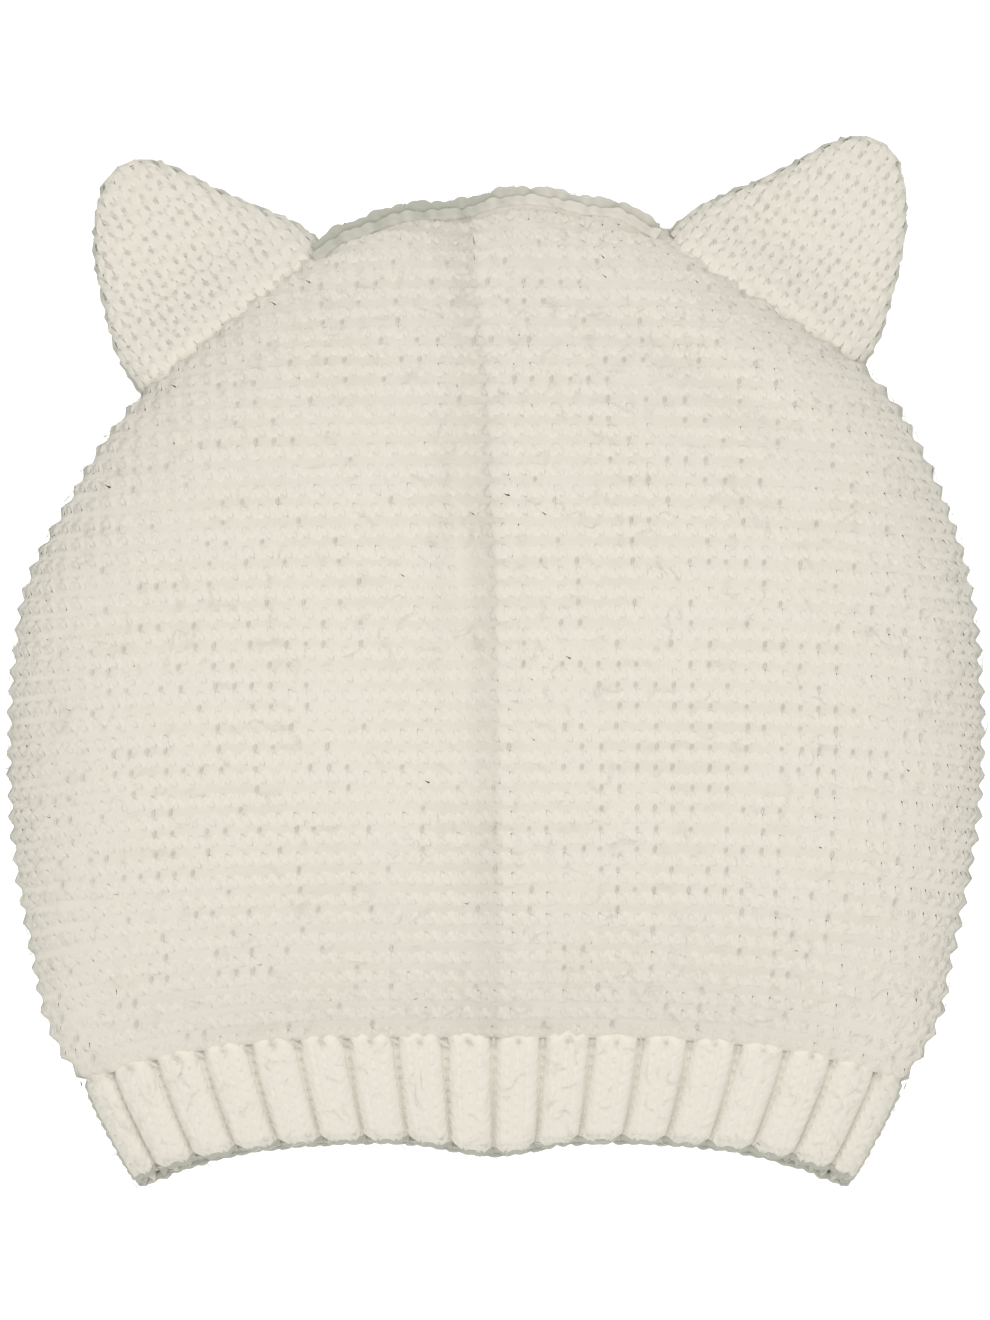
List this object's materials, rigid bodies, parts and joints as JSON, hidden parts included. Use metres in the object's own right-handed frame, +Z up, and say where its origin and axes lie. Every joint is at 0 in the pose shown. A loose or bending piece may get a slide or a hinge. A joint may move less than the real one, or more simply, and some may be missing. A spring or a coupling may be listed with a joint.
{
  "type": "knitted baby hat with ears",
  "caption": "Soft knitted baby hat lying flat: garter stitch crown with a seam down its middle, ribbed band at its opening and a pocket-like ear on each shoulder.",
  "frame": {"origin": "middle of the hat's footprint on the surface that it lies on", "axes": "+Z up from that surface, +Y from the opening towards the top of the crown and the ears, +X towards the right ear as seen from above"},
  "size_m": [0.2054, 0.22, 0.0442],
  "materials": {
    "crown_knit": "cream wool in garter stitch, soft and dull, with a light fuzz",
    "rib_knit": "the same cream wool in a two by one rib",
    "ear_knit": "the same cream wool in smooth stocking stitch"
  },
  "bodies": {
    "root": {"crown": "crown_knit", "rib_band": "rib_knit", "ear_left": "ear_knit", "ear_right": "ear_knit"}
  },
  "joints": []
}
